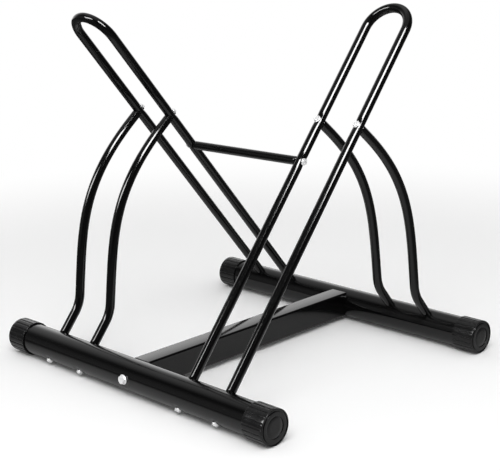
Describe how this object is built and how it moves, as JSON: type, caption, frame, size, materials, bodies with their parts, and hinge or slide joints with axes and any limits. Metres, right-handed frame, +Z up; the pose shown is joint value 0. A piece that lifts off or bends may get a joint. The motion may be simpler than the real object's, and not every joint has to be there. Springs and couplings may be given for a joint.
{
  "type": "floor bike rack",
  "caption": "Free-standing floor bike rack of bent black tube: leaning wheel hoops on round base tubes, with curved supports, a thin crossbar and a connecting bar.",
  "frame": {"origin": "on the floor at the middle of the rack, midway between the two base tubes", "axes": "+X along the base tubes, +Y from the front base tube to the rear one, +Z up"},
  "size_m": [0.585, 0.5474, 0.5627],
  "materials": {
    "tube": "gloss black powder coat",
    "cap": "satin moulded black",
    "bolt": "bright zinc plated",
    "plug": "plain machined, hidden inside the tubes"
  },
  "bodies": {
    "root": {"front_base_tube": "tube", "front_right_end_cap": "cap", "front_left_end_cap": "cap", "front_hoop": "tube", "front_inner_support": "tube", "front_inner_leg_foot_bolt": "bolt", "front_inner_leg_foot_plug": "plug", "front_inner_support_top_bolt": "bolt", "front_inner_support_top_plug": "plug", "front_inner_support_foot_bolt": "bolt", "front_inner_support_foot_plug": "plug", "front_outer_support": "tube", "front_outer_leg_foot_bolt": "bolt", "front_outer_leg_foot_plug": "plug", "front_outer_support_top_bolt": "bolt", "front_outer_support_top_plug": "plug", "front_outer_support_foot_bolt": "bolt", "front_outer_support_foot_plug": "plug", "front_crossbar_bolt": "bolt", "front_crossbar_plug": "plug", "front_bar_bolt": "bolt", "front_bar_nut_plate": "plug", "rear_base_tube": "tube", "rear_right_end_cap": "cap", "rear_left_end_cap": "cap", "rear_hoop": "tube", "rear_inner_support": "tube", "rear_inner_leg_foot_bolt": "bolt", "rear_inner_leg_foot_plug": "plug", "rear_inner_support_top_bolt": "bolt", "rear_inner_support_top_plug": "plug", "rear_inner_support_foot_bolt": "bolt", "rear_inner_support_foot_plug": "plug", "rear_outer_support": "tube", "rear_outer_leg_foot_bolt": "bolt", "rear_outer_leg_foot_plug": "plug", "rear_outer_support_top_bolt": "bolt", "rear_outer_support_top_plug": "plug", "rear_outer_support_foot_bolt": "bolt", "rear_outer_support_foot_plug": "plug", "rear_crossbar_bolt": "bolt", "rear_crossbar_plug": "plug", "rear_bar_bolt": "bolt", "rear_bar_nut_plate": "plug", "connecting_bar": "tube", "crossbar": "tube"}
  },
  "joints": []
}
